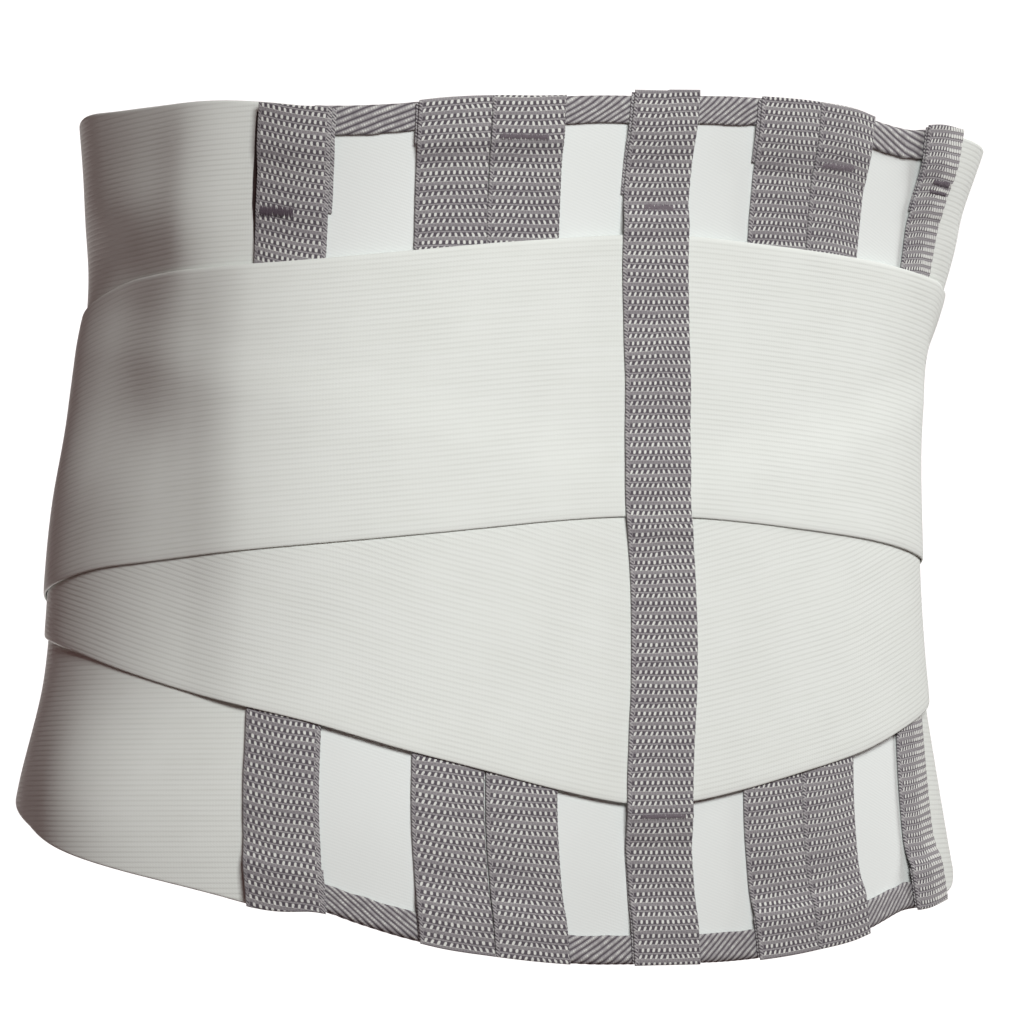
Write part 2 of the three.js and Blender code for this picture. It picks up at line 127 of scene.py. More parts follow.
# Soft upright dents of the side. Widths and depths are millimetres.
DENTS = [
    dict(station=-209, height=212, low=44, high=40, reach=40, depth=7.5),
    dict(station=-178, height=158, low=44, high=26, reach=42, depth=3.6),
    dict(station=-200, height=296, low=50, high=40, reach=34, depth=4.5),
    dict(station=-168, height=262, low=14, high=20, reach=30, depth=-2),
    dict(station=-268, height=196, low=26, high=26, reach=76, depth=-3),
    dict(station=-205, height=38, low=34, high=34, reach=50, depth=-6.5),
    dict(station=176, height=160, low=22, high=22, reach=64, depth=2.2),
    dict(station=180, height=238, low=24, high=24, reach=22, depth=-2.2),
]

# How long the folded double end of each tape is, as shares of the belt's height
TAPES = [
    dict(name="outer_tape_left", start=-TAPED_END, fold_top=0.12, fold_bottom=0.05, wider=1, trim=1, peek=1.2,
         sway=[(0, 0), (1, 0)]),
    dict(name="inner_tape_left_a", start=-85, fold_top=0.05, fold_bottom=0.05, wider=-0.5, trim=0.4, peek=-0.9,
         sway=[(0, 0.9), (0.1, 1.5), (0.3, 1.6), (0.84, 0.8), (0.93, 0.2), (1, 0)]),
    dict(name="inner_tape_left_b", start=-60.5, fold_top=0.05, fold_bottom=0.05, wider=0, trim=0.4, peek=0.2,
         sway=[(0, 0.9), (0.1, 1.5), (0.3, 1.6), (0.84, 0.4), (0.93, 0), (1, -0.4)]),
    dict(name="inner_tape_right_a", start=35.5, fold_top=0.075, fold_bottom=0.05, wider=0, trim=0.4, peek=-0.8,
         sway=[(0, -0.4), (0.1, -0.3), (0.85, 0), (1, 0.6)]),
    dict(name="inner_tape_right_b", start=60.5, fold_top=0.075, fold_bottom=0.05, wider=0, trim=0.4, peek=0.2,
         sway=[(0, -0.4), (0.1, -0.3), (0.85, 0), (1, 0.6)]),
    dict(name="outer_tape_right", start=OUTER_TAPE_START, fold_top=0.1, fold_bottom=0.05, wider=-0.5, trim=-1, peek=-0.6,
         sway=[(0, 0), (0.84, -1), (0.9, -0.4), (0.93, 1.6), (1, 1.6)]),
]
SPINE_SWAY = [(0, 0), (0.08, 1.3), (0.25, 1.9), (0.42, 1.9), (0.47, 1.4), (0.52, 0), (0.6, 1), (0.66, 1.5), (0.74, 0.2),
              (0.84, -1.3), (0.93, -0.7), (1, 0)]


# ---- The torso's surface -------------------------------------------------------------------

def table_curve(rows, place_column, value_column):
    """A smooth curve through the rows of a table, straight past its ends."""
    places = np.array([row[place_column] for row in rows], float)
    values = np.array([row[value_column] for row in rows], float)
    spans = np.diff(places)
    rises = np.diff(values) / spans
    inner = (rises[:-1] * spans[1:] + rises[1:] * spans[:-1]) / (spans[:-1] + spans[1:])
    slopes = np.concatenate([rises[:1], inner, rises[-1:]])

    def curve(at):
        at = np.asarray(at, float)
        k = np.clip(np.searchsorted(places, at, side="right") - 1, 0, len(spans) - 1)
        u = np.clip((at - places[k]) / spans[k], 0, 1)
        ease = u * u * (3 - 2 * u)
        leaving = u * (1 - u) ** 2 * spans[k] * slopes[k]
        arriving = u * u * (u - 1) * spans[k] * slopes[k + 1]
        before = np.minimum(at - places[0], 0) * slopes[0]
        after = np.maximum(at - places[-1], 0) * slopes[-1]
        return values[k] * (1 - ease) + values[k + 1] * ease + leaving + arriving + before + after

    return curve


def smooth_step(low, high, value):
    u = np.clip((value - low) / (high - low), 0, 1)
    return u * u * (3 - 2 * u)


def blend(a, b, share):
    return a + (b - a) * share


SECTION_CURVES = {
    column: table_curve(TORSO_SECTIONS, "height", column)
    for column in ("centre", "right", "left", "back", "front")
}
SECTION_STEPS = 640
GRID_STATIONS = np.arange(-486.0, 487.0)
GRID_HEIGHTS = np.arange(-10.0, BELT_HEIGHT + 12.1, 2.0)
TANGENT_REACH = 2


def half_section(side, height):
    """Points of one half of the torso's section, from the spine to the front, and their lengths."""
    share = height / BELT_HEIGHT
    centre = SECTION_CURVES["centre"](share) * WAIST_HALF_BREADTH
    reach = SECTION_CURVES["right" if side > 0 else "left"](share) * WAIST_HALF_BREADTH
    back = SECTION_CURVES["back"](share) * WAIST_BACK_DEPTH
    front = SECTION_CURVES["front"](share) * WAIST_FRONT_DEPTH
    angle = np.linspace(0, np.pi, SECTION_STEPS + 1)
    behind = angle <= np.pi / 2
    power = np.where(behind, 2 / BACK_SQUARENESS, 2 / FRONT_SQUARENESS)
    out = np.abs(np.sin(angle)) ** power
    along = np.abs(np.cos(angle)) ** power
    x = centre + side * reach * out
    y = np.where(behind, -back, front) * along
    lengths = np.concatenate([[0], np.cumsum(np.hypot(np.diff(x), np.diff(y)))])
    return x, y, lengths


def plan_row(height):
    """The plan places of the grid's stations at one height."""
    run = np.abs(GRID_STATIONS)
    crossed = run > HALF_GIRTH
    run = np.where(crossed, 2 * HALF_GIRTH - run, run)
    sides = np.where(GRID_STATIONS < 0, -1, 1) * np.where(crossed, -1, 1)
    row = np.empty((len(GRID_STATIONS), 2))
    for side in (-1, 1):
        x, y, lengths = half_section(side, height)
        spread_out = (lengths[-1] - EVEN_STATIONS) / (HALF_GIRTH - EVEN_STATIONS)
        arc = np.where(run <= EVEN_STATIONS, run, EVEN_STATIONS + (run - EVEN_STATIONS) * spread_out)
        chosen = sides == side
        row[chosen, 0] = np.interp(arc[chosen], lengths, x)
        row[chosen, 1] = np.interp(arc[chosen], lengths, y)
    return row


def make_plan():
    """Plan places and outward directions on a grid of heights and stations."""
    plan = np.array([plan_row(height) for height in GRID_HEIGHTS])
    tangent = np.zeros_like(plan)
    reach = TANGENT_REACH
    tangent[:, reach:-reach] = plan[:, 2 * reach:] - plan[:, :-2 * reach]
    tangent[:, :reach] = tangent[:, reach:reach + 1]
    tangent[:, -reach:] = tangent[:, -reach - 1:-reach]
    tangent /= np.linalg.norm(tangent, axis=2, keepdims=True)
    return np.concatenate([plan, tangent[..., 1:], -tangent[..., :1]], axis=2)


PLAN = make_plan()


def dent_depth(station, height):
    depth = np.zeros(np.broadcast(station, height).shape)
    for dent in DENTS:
        across = station - dent["station"]
        across = across / np.where(across < 0, dent["low"], dent["high"])
        along = (height - dent["height"]) / dent["reach"]
        depth += dent["depth"] * np.exp(-(across ** 2)) * np.exp(-(along ** 4))
    return depth


def body_points(station, height, lift):
    """Places on the belt in millimetres. lift is the distance out from the panels' outer face."""
    station, height, lift = np.broadcast_arrays(station, height, lift)
    across = np.clip(station - GRID_STATIONS[0], 0, len(GRID_STATIONS) - 1.001)
    up = np.clip((height - GRID_HEIGHTS[0]) / 2.0, 0, len(GRID_HEIGHTS) - 1.001)
    column, row = across.astype(int), up.astype(int)
    u, v = (across - column)[..., None], (up - row)[..., None]
    low = PLAN[row, column] * (1 - u) + PLAN[row, column + 1] * u
    high = PLAN[row + 1, column] * (1 - u) + PLAN[row + 1, column + 1] * u
    found = low * (1 - v) + high * v
    out = (lift - dent_depth(station, height))[..., None]
    plan = found[..., :2] + out * found[..., 2:]
    return np.concatenate([plan, (height - BELT_HEIGHT / 2)[..., None]], axis=-1)


# ---- The belt's edges and layers -----------------------------------------------------------

EDGE_CURVES = {
    **{name: table_curve(BELT_EDGES, "station", name) for name in ("top_left", "top_right", "bottom")},
    **{
        name: table_curve(STRAP_EDGES, "station", name)
        for name in ("upper_top_left", "upper_top_right", "upper_bottom", "lower_bottom")
    },
}


def edge_height(name, station):
    run = np.abs(np.asarray(station, float))
    folded = np.where(run > HALF_GIRTH, 2 * HALF_GIRTH - run, run)
    return EDGE_CURVES[name](folded / HALF_GIRTH) * BELT_HEIGHT


def swell(station, middle, width, height):
    """A soft rise of an edge round one place."""
    return height * np.exp(-(((np.asarray(station, float) - middle) / width) ** 2))


def top_edge(station):
    left = edge_height("top_left", station) + swell(station, -244, 20, 1.4)
    return np.where(np.asarray(station) < 0, left, edge_height("top_right", station))


def bottom_edge(station):
    uneven_ends = swell(station, -116, 9, 1.8) - swell(station, 122, 12, 1) - swell(station, 158, 20, 3.5)
    return edge_height("bottom", station) + uneven_ends


def upper_strap_top(station):
    left = edge_height("upper_top_left", station)
    return np.where(np.asarray(station) < 0, left, edge_height("upper_top_right", station))


def upper_strap_bottom(station):
    return edge_height("upper_bottom", station) - swell(station, -95, 60, 1.3) + swell(station, 100, 45, 0.9)


def lower_strap_bottom(station):
    return edge_height("lower_bottom", station) + swell(station, -100, 50, 2)


def lower_strap_top(station):
    slope = lower_strap_bottom(station + 1) - lower_strap_bottom(station)
    return lower_strap_bottom(station) + STRAP_WIDTH * np.hypot(1, slope)


TAPE_INNER = LAYER_GAP
TAPE_OUTER = TAPE_INNER + TAPE_WALL
OVER_BINDING = 2 * LAYER_GAP + BINDING_WALL
STRAP_OVER_TAPES = TAPE_OUTER + TAPE_BULGE + LAYER_GAP
STRAP_OVER_PANEL = LAYER_GAP + STRAP_SLACK
STRAP_DRAPE_START = 5
STRAP_DRAPE_END = 26


def lower_strap_inner(station, height=0):
    on_panel = smooth_step(TAPED_END, STRAP_LANDING_END, np.abs(station))
    return blend(STRAP_OVER_TAPES, STRAP_OVER_PANEL, on_panel) + 0 * height


def upper_strap_inner(station, height):
    lowest = lower_strap_inner(station)
    draped = smooth_step(STRAP_DRAPE_START, STRAP_DRAPE_END, height - lower_strap_top(station))
    return blend(lowest + STRAP_WALL + LAYER_GAP, lowest, draped)


def panel_lift(station):
    over = LAYER_GAP + PATCH_WALL + LAYER_GAP + PANEL_WALL
    return smooth_step(CLOSURE_RAMP_START, HALF_GIRTH - CLOSURE_REACH, station) * over


# ---- Seeded unevenness ---------------------------------------------------------------------

def uneven(seed, spacing):
    """A smooth random function of one length, from -1 to 1."""
    knots = np.random.default_rng(seed).uniform(-1, 1, 1024)

    def at(place):
        place = np.asarray(place, float) / spacing
        k = np.floor(place).astype(int)
        u = smooth_step(0, 1, place - k)
        return blend(knots[k % 1024], knots[(k + 1) % 1024], u)

    return at


def uneven_field(seed, spacing_u, spacing_v):
    """A smooth random function of two lengths, from -1 to 1."""
    knots = np.random.default_rng(seed).uniform(-1, 1, (128, 128))

    def at(u, v):
        u, v = np.broadcast_arrays(np.asarray(u, float) / spacing_u, np.asarray(v, float) / spacing_v)
        i, j = np.floor(u).astype(int), np.floor(v).astype(int)
        a, b = smooth_step(0, 1, u - i), smooth_step(0, 1, v - j)
        near = blend(knots[i % 128, j % 128], knots[(i + 1) % 128, j % 128], a)
        far = blend(knots[i % 128, (j + 1) % 128], knots[(i + 1) % 128, (j + 1) % 128], a)
        return blend(near, far, b)

    return at


# ---- Mesh building -------------------------------------------------------------------------

RIM = np.array([0, 0.12, 0.35, 0.7, 1.2])


def spread(length, step):
    """Distances from one edge to the other, close together at both rims."""
    inside = length - 2 * RIM[-1]
    count = max(2, round(inside / step))
    middle = RIM[-1] + inside * np.arange(1, count) / count
    return np.concatenate([RIM, middle, length - RIM[::-1]])


def fitted(rows, low, high):
    """Distances from spread(), fitted between two edges with their rims kept to size."""
    rim = RIM[-1]
    share = np.clip((rows - rim) / (rows[-1] - 2 * rim), 0, 1)
    from_low = np.minimum(rows, rim)
    from_high = rim - np.minimum(rows[-1] - rows, rim)
    return low + from_low + share * (high - low - 2 * rim) + from_high


def fullness(rows, radius):
    """From a thin rounded edge to the whole thickness."""
    inward = np.clip(np.minimum(rows, rows[-1] - rows) / radius, 0, 1)
    return 0.2 + 0.8 * np.sqrt(1 - (1 - inward) ** 2)


class Shape:
    """Quads in millimetres with their weave coordinates, gathered into one mesh in metres."""

    def __init__(self):
        self.points, self.quads, self.weave = [], [], []
        self.count = 0

    def add(self, points, quads, weave):
        self.points.append(points)
        self.quads.append(quads + self.count)
        self.weave.append(weave)
        self.count += len(points)

    def add_wall(self, station, height, inner, outer, weave):
        """A closed wall. The arrays are columns by rows: columns run along the girth, rows upward."""
        columns, rows = station.shape
        outside = body_points(station, height, outer).reshape(-1, 3)
        inside = body_points(station, height, inner).reshape(-1, 3)
        index = np.arange(columns * rows).reshape(columns, rows)
        behind = index + columns * rows
        face = grid_quads(index)
        quads = [face, grid_quads(behind)[:, ::-1]]
        for border, back in (
            (index[:, 0], behind[:, 0]),
            (index[-1], behind[-1]),
            (index[::-1, -1], behind[::-1, -1]),
            (index[::-1][-1][::-1], behind[::-1][-1][::-1]),
        ):
            quads.append(np.stack([border[1:], border[:-1], back[:-1], back[1:]], axis=1))
        flat = weave.reshape(-1, 2)
        self.add(np.concatenate([outside, inside]), np.concatenate(quads), np.concatenate([flat, flat]))

    def add_loft(self, loops, weave):
        """A closed wall through closed loops of points: sections by points by three."""
        sections, around = loops.shape[:2]
        index = np.arange(sections * around).reshape(sections, around)
        index = np.concatenate([index, index[:, :1]], axis=1)
        quads = [grid_quads(index)]
        half = around // 2
        for section, flip in ((index[0, :-1], 1), (index[-1, :-1], -1)):
            near, far = section[:half], section[half:][::-1]
            cap = np.stack([near[:-1], near[1:], far[1:], far[:-1]], axis=1)
            quads.append(cap[:, ::flip])
        self.add(loops.reshape(-1, 3), np.concatenate(quads), weave.reshape(-1, 2))

    def build(self, name, material):
        points = np.concatenate(self.points) * MM
        quads = np.concatenate(self.quads)
        weave = np.concatenate(self.weave) * MM
        mesh = bpy.data.meshes.new(name)
        mesh.from_pydata(points.tolist(), [], quads.tolist())
        layer = mesh.uv_layers.new(name="weave")
        layer.uv.foreach_set("vector", weave[quads.ravel()].astype(np.float32).ravel())
        mesh.shade_smooth()
        mesh.materials.append(material)
        piece = bpy.data.objects.new(name, mesh)
        bpy.context.scene.collection.objects.link(piece)
        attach(piece, "root")
        return piece


def grid_quads(index):
    """The quads of a grid of point numbers."""
    a, b, c, d = index[:-1, :-1], index[1:, :-1], index[1:, 1:], index[:-1, 1:]
    return np.stack([a, b, c, d], axis=-1).reshape(-1, 4)


def thickened(middle, wall, column_fullness, row_fullness):
    """Inner and outer lifts of a wall with rounded edges."""
    half = wall / 2 * np.minimum(column_fullness[:, None], row_fullness[None, :])
    return middle - half, middle + half


# ---- Materials -----------------------------------------------------------------------------

class Term:
    """A value in a node tree that joins with others through Math nodes."""

    def __init__(self, tree, socket):
        self.tree = tree
        self.socket = socket

    def math(self, operation, *others):
        node = self.tree.nodes.new("ShaderNodeMath")
        node.operation = operation
        for slot, term in zip(node.inputs, (self, *others)):
            if isinstance(term, Term):
                self.tree.links.new(term.socket, slot)
            else:
                slot.default_value = term
        return Term(self.tree, node.outputs[0])

    def __add__(self, other):
        return self.math("ADD", other)

    def __sub__(self, other):
        return self.math("SUBTRACT", other)

    def __mul__(self, other):
        return self.math("MULTIPLY", other)

    def __truediv__(self, other):
        return self.math("DIVIDE", other)

    def __radd__(self, other):
        return self + other

    def __rmul__(self, other):
        return self * other

    def __rsub__(self, other):
        return self * -1 + other

    def fraction(self):
        return self.math("FRACT")

    def sine(self):
        return self.math("SINE")

    def size(self):
        return self.math("ABSOLUTE")

    def least(self, other):
        return self.math("MINIMUM", other)

    def most(self, other):
        return self.math("MAXIMUM", other)

    def rising(self, low, high):
        """From 0 at low to 1 at high, eased."""
        node = self.tree.nodes.new("ShaderNodeMapRange")
        node.interpolation_type = "SMOOTHSTEP"
        self.tree.links.new(self.socket, node.inputs["Value"])
        node.inputs["From Min"].default_value = low
        node.inputs["From Max"].default_value = high
        return Term(self.tree, node.outputs["Result"])


class Cloth:
    """A cloth material, whose colour, roughness and relief come from nodes on the weave map."""

    def __init__(self, name, sheen=0.3, sheen_roughness=0.5, specular=0.25):
        self.material = bpy.data.materials.new(name)
        self.material.use_nodes = True
        self.tree = self.material.node_tree
        self.shader = self.tree.nodes["Principled BSDF"]
        self.shader.inputs["Sheen Weight"].default_value = sheen
        self.shader.inputs["Sheen Roughness"].default_value = sheen_roughness
        self.shader.inputs["Specular IOR Level"].default_value = specular
        weave = self.tree.nodes.new("ShaderNodeUVMap")
        weave.uv_map = "weave"
        scaled = self.tree.nodes.new("ShaderNodeVectorMath")
        scaled.operation = "SCALE"
        scaled.inputs["Scale"].default_value = 1000
        self.tree.links.new(weave.outputs["UV"], scaled.inputs[0])
        split = self.tree.nodes.new("ShaderNodeSeparateXYZ")
        self.tree.links.new(scaled.outputs[0], split.inputs[0])
        self.flat = scaled.outputs[0]
        self.u = Term(self.tree, split.outputs["X"])
        self.v = Term(self.tree, split.outputs["Y"])
        place = self.tree.nodes.new("ShaderNodeTexCoord")
        self.place = place.outputs["Object"]

    def noise(self, per_metre, detail=2.0, roughness=0.5, stretch=None, flat=False):
        """Cloudy noise from -1 to 1, by place on the object or, if flat, by weave millimetre."""
        node = self.tree.nodes.new("ShaderNodeTexNoise")
        node.inputs["Scale"].default_value = per_metre
        node.inputs["Detail"].default_value = detail
        node.inputs["Roughness"].default_value = roughness
        source = self.flat if flat else self.place
        if stretch:
            mapping = self.tree.nodes.new("ShaderNodeMapping")
            mapping.inputs["Scale"].default_value = stretch
            self.tree.links.new(source, mapping.inputs["Vector"])
            source = mapping.outputs[0]
        self.tree.links.new(source, node.inputs["Vector"])
        return Term(self.tree, node.outputs["Fac"]) * 2 - 1

    def mix(self, share, first, second):
        """A colour between two, each a colour or a socket."""
        node = self.tree.nodes.new("ShaderNodeMix")
        node.data_type = "RGBA"
        self.tree.links.new(share.socket, node.inputs["Factor"])
        for slot, colour in zip(node.inputs[6:8], (first, second)):
            if isinstance(colour, tuple):
                slot.default_value = (*colour, 1)
            else:
                self.tree.links.new(colour, slot)
        return node.outputs[2]

    def finish(self, colour, roughness, relief, depth):
        """depth is the relief's height in millimetres where relief is 1."""
        self.tree.links.new(colour, self.shader.inputs["Base Color"])
        self.tree.links.new(roughness.socket, self.shader.inputs["Roughness"])
        bump = self.tree.nodes.new("ShaderNodeBump")
        bump.inputs["Distance"].default_value = depth * MM
        bump.inputs["Strength"].default_value = 1
        self.tree.links.new(relief.socket, bump.inputs["Height"])
        self.tree.links.new(bump.outputs["Normal"], self.shader.inputs["Normal"])
        return self.material


def linear(red, green, blue):
    """A colour given as on a screen, from 0 to 255."""
    return tuple(
        c / 12.92 if c <= 0.04045 else ((c + 0.055) / 1.055) ** 2.4
        for c in (red / 255, green / 255, blue / 255)
    )


def hump(term, width):
    """1 where term is 0, falling to 0 at width away."""
    return 1 - term.size().rising(0, width)


RIB_PITCH = 1.7
TURN = 2 * math.pi


def elastic_cloth(name, light, shade, groove_shade):
    """Knitted elastic: shallow ribs along u with rows of fine stitches."""
    cloth = Cloth(name, sheen=0.03, sheen_roughness=0.5, specular=0.1)
    drift = cloth.noise(9, detail=1) * 0.3
    phase = (cloth.v + drift) / RIB_PITCH * TURN
    rib = phase.sine()
    half_rib = (phase * 2 + 0.8).sine()
    stitch = (cloth.u / 1.05 * TURN + half_rib * 1.2).sine()
    fuzz = cloth.noise(2600, detail=3)
    patch = cloth.noise(30, detail=3)
    streak = cloth.noise(0.35, detail=3, stretch=(0.08, 1, 1), flat=True)
    strength = cloth.noise(60, detail=2) * 0.6 + 0.8
    colour = cloth.mix((patch * 0.3 + streak * 0.5 + fuzz * 0.25 + 0.5).rising(0, 1), light, shade)
    lines = (0.5 - rib * 0.5) * strength
    # Painted shade: the colour darkens towards the third colour in the ribs' grooves and between the stitches, where
    # the relief is lowest.
    colour = cloth.mix(lines * 0.22 + (0.5 - half_rib * 0.5) * 0.06 + (0.5 - stitch * 0.5) * 0.1, colour, groove_shade)
    relief = rib * 0.5 * strength + half_rib * 0.12 + stitch * 0.14 + fuzz * 0.16
    return cloth.finish(colour, fuzz * 0.03 + 0.86, relief, 0.05)


def panel_cloth(name):
    """Smooth coated cloth with a very fine slanting twill."""
    cloth = Cloth(name, sheen=0.1, sheen_roughness=0.5, specular=0.2)
    twill = ((cloth.v + cloth.u * 0.36) / 1.05).fraction() - 0.5
    line = hump(twill, 0.5)
    fine = ((cloth.u - cloth.v * 0.2) / 0.6).fraction() - 0.5
    fuzz = cloth.noise(1900, detail=3)
    cloud = cloth.noise(22, detail=3)
    colour = cloth.mix((cloud * 0.5 + fuzz * 0.25 + 0.5).rising(0, 1), PANEL_LIGHT, PANEL_SHADE)
    # Painted shade: the twill's recessed lines are darkened a little towards a cool grey.
    colour = cloth.mix(line * 0.1, colour, linear(190, 200, 200))
    relief = (1 - line) * 0.5 + hump(fine, 0.5) * 0.2 + fuzz * 0.12
    return cloth.finish(colour, fuzz * 0.04 + 0.8, relief, 0.03)


YARN_PITCH = 1.94
WEAVE_REPEAT = 4.6
ROUND_ROW = 0.8
SLANTED_ROW = 3.0
PALE_ROW = 3.72
BAND_ROW = 4.25


def webbing_cloth(name, lean=0.4, floats=0):
    """Webbing of dark warp and pale weft: a row of blunt dots, then a row of slanting ones.

    The second row leans one way on the tape's left half and the other way on its right. With
    floats, the dots run together into pale bars towards the right edge.
    """
    cloth = Cloth(name, sheen=0.08, sheen_roughness=0.5, specular=0.2)
    u = cloth.u + cloth.noise(0.12, detail=1, flat=True) * 0.5
    v = cloth.noise(0.04, detail=2, flat=True) * 0.9 - cloth.v
    row = (v / WEAVE_REPEAT).fraction() * WEAVE_REPEAT
    slant = lean - cloth.u.rising(10, 15) * lean * 2
    apart = 1 - cloth.u.rising(8, 15) * floats

    def dots(shift, place, lean, across, along):
        down = row - place
        du = ((u + down * lean) / YARN_PITCH + shift).fraction() - 0.5
        du = (du * (YARN_PITCH / across)).size().math("POWER", 3) * apart
        dv = (down / along).size().math("POWER", 3)
        return 1 - (du + dv).rising(0.15, 2)

    dot = dots(0, ROUND_ROW, slant * 0.3, 0.46, 0.66).most(dots(0.5, SLANTED_ROW, slant, 0.43, 0.74))
    fuzz = cloth.noise(2400, detail=3)
    change = cloth.noise(0.9, detail=2, flat=True)
    bands = cloth.noise(0.16, detail=2, stretch=(0.15, 1, 1), flat=True)
    lines = hump(row - (ROUND_ROW + SLANTED_ROW) / 2, 0.42) * 0.42
    lines = lines.most(hump(row - PALE_ROW, 0.4) * 0.52).most(hump(row - BAND_ROW, 0.55) * 0.34)
    lines = lines.most(hump(row, 0.42) * 0.45)
    yarn = hump((u / YARN_PITCH * 2).fraction() - 0.5, 0.5) * 0.08
    selvedge = (1 - cloth.u.rising(0.9, 1.6)).most(cloth.u.rising(23.9, 24.4))
    mottle = hump(((cloth.v + cloth.u * 0.8) / 1.15).fraction() - 0.5, 0.42) * 0.7
    dot = dot * (1 - selvedge) * (change * 0.3 + 0.93)
    tone = (lines + yarn + 0.05).most(dot).most(mottle * selvedge)
    tone = tone * (bands * 0.4 + 1) + fuzz * 0.08
    colour = cloth.mix(tone.rising(0, 0.55), WEB_DARK, WEB_MIDDLE)
    colour = cloth.mix(tone.rising(0.45, 1), colour, WEB_PALE)
    relief = dot * 0.7 + lines * 0.6 + fuzz * 0.05
    return cloth.finish(colour, fuzz * 0.05 + 0.72, relief, 0.2)


def gathered_cloth(name):
    """The same webbing squeezed into slanting ridges. v crosses the ridges and u follows them."""
    cloth = Cloth(name, sheen=0.08, sheen_roughness=0.5, specular=0.2)
    ridge = (cloth.v / GATHER_PITCH).fraction() - 0.5
    crest = hump(ridge, 0.5).math("POWER", 0.65)
    stitch = hump(((cloth.u + ridge * 0.4) / 0.92).fraction() - 0.5, 0.5)
    fuzz = cloth.noise(2400, detail=3)
    change = cloth.noise(0.4, detail=2, flat=True)
    # The pale stitches are the weft's own colour; the paler crests and the dark hollows between the ridges are painted
    # light and shade.
    light = crest * stitch * (change * 0.5 + 0.85)
    tone = (crest * 0.62 + 0.06).most(light) * (change * 0.4 + 1) + fuzz * 0.06
    colour = cloth.mix(tone.rising(0, 0.55), WEB_DARK, WEB_MIDDLE)
    colour = cloth.mix(tone.rising(0.45, 1), colour, WEB_PALE)
    relief = light * 0.5 + crest * 0.6 + fuzz * 0.06
    return cloth.finish(colour, fuzz * 0.05 + 0.74, relief, 0.22)


def hook_cloth(name):
    """Hook-and-loop tape: short upright pile in close rows."""
    cloth = Cloth(name, sheen=0.4, sheen_roughness=0.4, specular=0.3)
    across = hump((cloth.u / 1.3).fraction() - 0.5, 0.45)
    along = hump((cloth.v / 1.5).fraction() - 0.5, 0.45)
    fuzz = cloth.noise(2200, detail=3)
    pile = across * along
    # Painted light and shade: the pile is palest on its tufts' tops and darker between them, following the relief.
    colour = cloth.mix((pile * 0.6 + fuzz * 0.3 + 0.2).rising(0, 1), linear(176, 173, 167), linear(222, 219, 212))
    return cloth.finish(colour, fuzz * 0.04 + 0.85, pile + fuzz * 0.2, 0.3)


def thread_finish(name, dark, light):
    """Twisted sewing thread. u runs along it and v round it."""
    cloth = Cloth(name, sheen=0.2, sheen_roughness=0.4, specular=0.3)
    twist = hump(((cloth.u + cloth.v) / 0.5).fraction() - 0.5, 0.5)
    fuzz = cloth.noise(3000, detail=2)
    # Painted highlight and shade: the twist's raised turns are paler and its hollows darker.
    colour = cloth.mix(twist * 0.7 + fuzz * 0.2, dark, light)
    return cloth.finish(colour, fuzz * 0.05 + 0.6, twist, 0.05)


GATHER_PITCH = 1.9
GATHER_DEPTH = 0.3
WEB_DARK, WEB_MIDDLE, WEB_PALE = linear(79, 74, 81), linear(154, 152, 154), linear(218, 222, 216)
PANEL_LIGHT, PANEL_SHADE = linear(231, 237, 234), linear(226, 232, 229)

# The third colour is painted shade for the elastic's rib grooves.
elastic = elastic_cloth("elastic_rib", linear(230, 236, 231), linear(225, 231, 225), linear(196, 199, 194))
panel_finish = panel_cloth("panel_twill")
webbing = webbing_cloth("webbing_weave")
webbing_plain = webbing_cloth("webbing_plain", lean=-0.1)
webbing_floats = webbing_cloth("webbing_floats", floats=0.85)
gathers = gathered_cloth("webbing_gathers")
hooks = hook_cloth("hook_pile")
dark_thread = thread_finish("dark_thread", linear(70, 60, 70), linear(104, 94, 102))
grey_thread = thread_finish("grey_thread", linear(94, 86, 94), linear(138, 131, 136))
# The seam colours below are painted shade: the reddish brown-black of the shadow in the gap beside the outer tapes,
# drawn with the thread's twist.
painted_seam_shadow = thread_finish("painted_seam_shadow", linear(44, 27, 25), linear(70, 50, 48))


# ---- Panels --------------------------------------------------------------------------------

def make_panel(name, material, start, end, low, high, lift, column_step, row_step, sway):
    """A panel between two edges of the belt, with soft unevenness of sway millimetres."""
    across = spread(end - start, column_step)
    rows = spread(BELT_HEIGHT * 0.95, row_step)
    station = np.repeat((start + across)[:, None], len(rows), axis=1)
    height = fitted(rows, low(station[:, :1]), high(station[:, :1]))
    waves = uneven_field(len(name), 34, 90)(station, height) * sway
    middle = lift(station) - PANEL_WALL / 2 - np.abs(waves)
    inner, outer = thickened(middle, PANEL_WALL, fullness(across, 0.7), fullness(rows, 0.7))
    shape = Shape()
    shape.add_wall(station, height, inner, outer, np.stack([station, height], axis=-1))
    piece = shape.build(name, material)
    return piece


def make_back_panel():
    inset = BINDING_WALL + LAYER_GAP
    end = PANEL_SEAM - BUTT_GAP
    piece = make_panel(
        "panel_back", panel_finish, -end, end,
        lambda s: bottom_edge(s) + inset, lambda s: top_edge(s) - inset, lambda s: 0 * s, 2.5, 2.5, 0.15,
    )
    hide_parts("back_panel")


def make_side_panels():
    for label, side in (("left", -1), ("right", 1)):
        seam_shadow, end = side * (PANEL_SEAM + BUTT_GAP), side * (HALF_GIRTH + CLOSURE_REACH)
        piece = make_panel(
            f"elastic_{label}", elastic, min(seam_shadow, end), max(seam_shadow, end),
            bottom_edge, top_edge, panel_lift, 2.2, 2.6, 0.12,
        )
        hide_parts(f"side_panel_{label}")
        area_between(bottom_edge, top_edge, PANEL_SEAM, HALF_GIRTH + CLOSURE_REACH)


def area_between(low, high, start, end):
    """Square metres between two edges along the girth."""
    station = np.linspace(start, end, 200)
    return float(np.mean(high(station) - low(station)) * (end - start) * MM * MM)


# ---- Straps --------------------------------------------------------------------------------

STRAP_FLARE = 0.15
FLARE_REACH = 6


